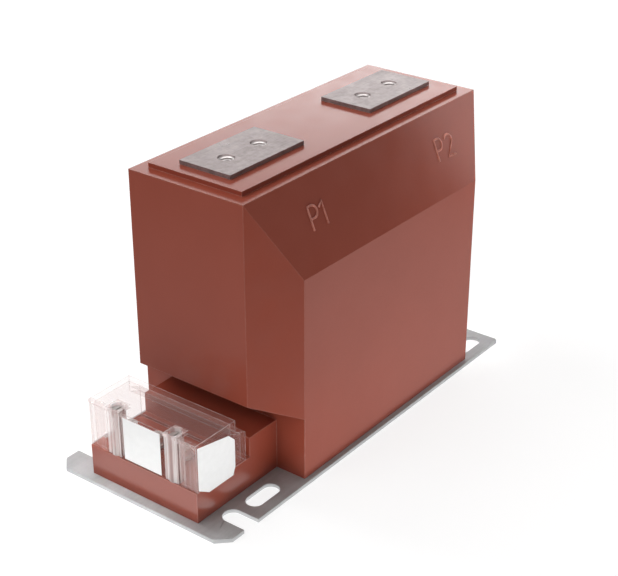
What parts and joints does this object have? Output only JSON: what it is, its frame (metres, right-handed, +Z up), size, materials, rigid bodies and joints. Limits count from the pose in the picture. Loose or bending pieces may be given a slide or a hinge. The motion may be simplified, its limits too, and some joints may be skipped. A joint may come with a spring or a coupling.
{
  "type": "block current transformer",
  "caption": "Cast-resin medium-voltage block current transformer on a slotted steel base plate, with top primary terminal plates and a clear cover over the secondary terminals.",
  "frame": {"origin": "middle of the base plate's underside", "axes": "+X along the body away from the secondary terminals, +Y across, +Z up"},
  "size_m": [0.348, 0.156, 0.2235],
  "materials": {
    "resin": "semi-gloss cast epoxy, iron-oxide red",
    "plate_steel": "zinc-plated sheet steel, dull",
    "tinned_copper": "tin plating, milled",
    "copper": "bare copper",
    "winding_copper": "enamelled copper wire",
    "core_steel": "tape-wound silicon steel",
    "wrap": "insulating tape",
    "brass": "turned brass",
    "plated_steel": "zinc-plated screws and washers",
    "clear_plastic": "clear moulded polycarbonate",
    "label": "blank white film"
  },
  "bodies": {
    "root": {"resin_body": "resin", "base_plate": "plate_steel", "front_primary_terminal": "tinned_copper", "rear_primary_terminal": "tinned_copper", "primary_bar": "copper", "measuring_core": "core_steel", "measuring_core_wrap": "wrap", "measuring_winding": "winding_copper", "protection_core": "core_steel", "protection_core_wrap": "wrap", "protection_winding": "winding_copper", "measuring_leads": "copper", "protection_leads": "copper", "secondary_inserts": "brass", "terminal_screws": "plated_steel", "terminal_flat_washers": "plated_steel", "terminal_spring_washers": "plated_steel", "secondary_cover": "clear_plastic", "cover_screws": "plated_steel", "cover_inserts": "brass", "front_label": "label", "side_label": "label", "plate_inserts": "brass", "plate_screws": "plated_steel"}
  },
  "joints": []
}
